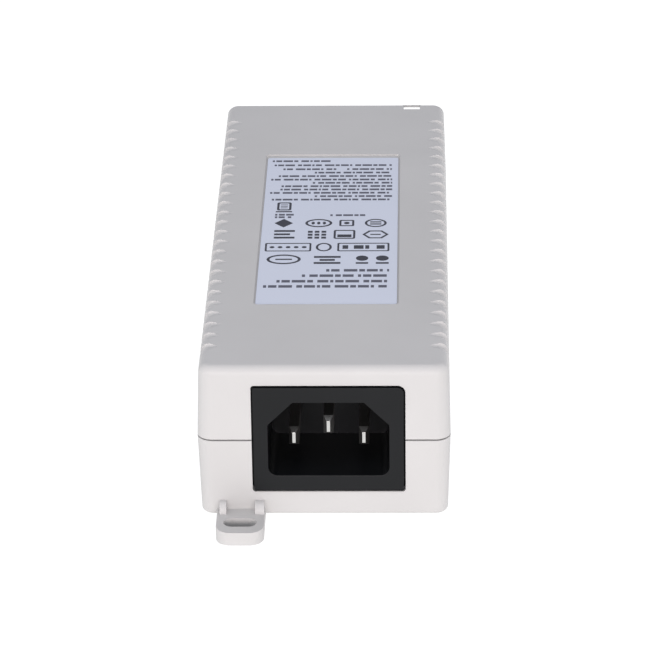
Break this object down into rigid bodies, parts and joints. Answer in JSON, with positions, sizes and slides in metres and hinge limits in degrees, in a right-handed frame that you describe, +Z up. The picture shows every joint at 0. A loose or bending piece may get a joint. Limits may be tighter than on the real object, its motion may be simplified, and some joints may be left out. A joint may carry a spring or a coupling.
{
  "type": "poe injector",
  "caption": "Small mains power injector for network cable: two-part light grey case with grooved top edges, appliance inlet, network sockets and screw ears.",
  "frame": {"origin": "on the resting surface, under the middle of the case and of its two ears", "axes": "+Z up, -Y towards the mains inlet, +Y towards the network sockets, +X to the right when facing the inlet"},
  "size_m": [0.0506, 0.1564, 0.0345],
  "materials": {
    "cover_plastic": "fine spark texture, satin",
    "foot_rubber": "matt",
    "label_film": "satin film with grey printed bars",
    "screw_steel": "satin",
    "inlet_plastic": "satin",
    "pin_metal": "plated",
    "board_laminate": "solder mask, satin",
    "insulation_film": "translucent film",
    "fuse_ceramic": "satin",
    "blue_coating": "dipped coating",
    "ferrite": "sintered",
    "copper_wire": "enamelled",
    "black_moulding": "satin",
    "yellow_box": "satin",
    "capacitor_sleeve": "heat-shrink sleeve",
    "heatsink_aluminium": "satin",
    "winding_tape": "polyester tape",
    "jack_steel": "nickel plated",
    "jack_plastic": "satin",
    "contact_plating": "gold plated",
    "led_package": "clear",
    "light_pipe_clear": "polished"
  },
  "bodies": {
    "case": {"top_cover": "cover_plastic", "bottom_cover": "cover_plastic", "rubber_feet": "foot_rubber", "rating_label": "label_film", "cover_screws": "screw_steel", "inlet_housing": "inlet_plastic", "inlet_line_pin": "pin_metal", "inlet_neutral_pin": "pin_metal", "inlet_earth_pin": "pin_metal", "circuit_board": "board_laminate", "board_screws": "screw_steel", "insulation_sheet": "insulation_film", "mains_fuse": "fuse_ceramic", "fuse_caps": "pin_metal", "surge_varistor": "blue_coating", "filter_choke_core": "ferrite", "filter_choke_winding": "copper_wire", "filter_choke_base": "black_moulding", "mains_capacitor": "yellow_box", "bridge_rectifier": "black_moulding", "bulk_capacitor": "capacitor_sleeve", "primary_heatsink": "heatsink_aluminium", "switching_transistor": "black_moulding", "transformer_core": "ferrite", "transformer_winding": "winding_tape", "control_chip": "black_moulding", "optocoupler": "black_moulding", "safety_capacitor": "blue_coating", "output_heatsink": "heatsink_aluminium", "output_diode": "black_moulding", "output_capacitors": "capacitor_sleeve", "output_choke": "ferrite", "power_controller": "black_moulding", "data_transformer": "black_moulding", "surface_resistors": "black_moulding", "data_jack_shield": "jack_steel", "data_jack_insulator": "jack_plastic", "power_jack_shield": "jack_steel", "power_jack_insulator": "jack_plastic", "jack_tails": "contact_plating", "status_leds": "led_package", "light_pipes": "light_pipe_clear"},
    "data_contacts": {"data_jack_contacts": "contact_plating"},
    "power_contacts": {"power_jack_contacts": "contact_plating"}
  },
  "joints": [
    {"name": "data_contact_flex", "type": "hinge", "parent": "case", "child": "data_contacts", "pos_m": [-0.0105, 0.0657, 0.01035], "axis": [1, 0, 0], "range_deg": [0, 9], "stiffness_Nm_per_rad": 0.4},
    {"name": "power_contact_flex", "type": "hinge", "parent": "case", "child": "power_contacts", "pos_m": [0.0105, 0.0657, 0.01035], "axis": [1, 0, 0], "range_deg": [0, 9], "stiffness_Nm_per_rad": 0.4}
  ]
}
